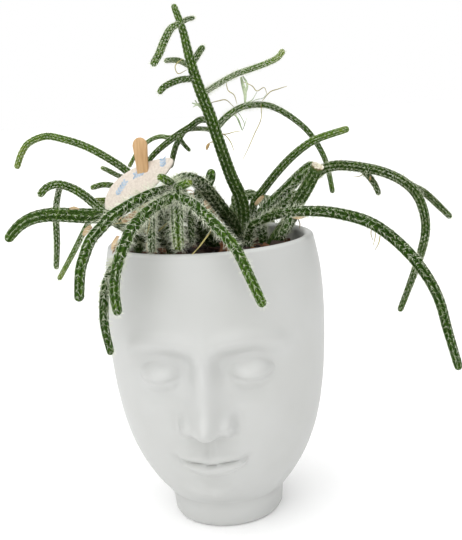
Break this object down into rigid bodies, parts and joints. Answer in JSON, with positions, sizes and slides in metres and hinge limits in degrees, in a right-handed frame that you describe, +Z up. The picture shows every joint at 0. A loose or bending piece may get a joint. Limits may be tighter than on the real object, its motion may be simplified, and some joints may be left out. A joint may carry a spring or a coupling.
{
  "type": "mistletoe cactus",
  "caption": "Hairy-stemmed mistletoe cactus with trailing branches, growing in a white ceramic face pot with a wooden tag stick and an oval card.",
  "frame": {"origin": "middle of the flat underside of the pot's foot", "axes": "+Z up, and the face on the pot looks along -Y, turned 8 degrees towards -X"},
  "size_m": [0.2265, 0.1615, 0.257],
  "materials": {
    "pot": "matt white glaze",
    "soil": "dark bark potting mix",
    "stem": "living green stem with pale bristles",
    "tag_card": "uncoated pale card",
    "tag_stick": "raw birch"
  },
  "bodies": {
    "root": {"pot": "pot", "soil": "soil", "stem_tall": "stem", "stem_front": "stem", "stem_middle": "stem", "stem_middle_left": "stem", "stem_right_arch": "stem", "stem_right_cut": "stem", "stem_right_rising": "stem", "stem_right_inner": "stem", "stem_left_low": "stem", "stem_left_mid": "stem", "stem_left_high": "stem", "stem_back_left": "stem", "stem_back_middle": "stem", "stem_back_right": "stem", "tag_card": "tag_card", "tag_stick": "tag_stick"}
  },
  "joints": []
}
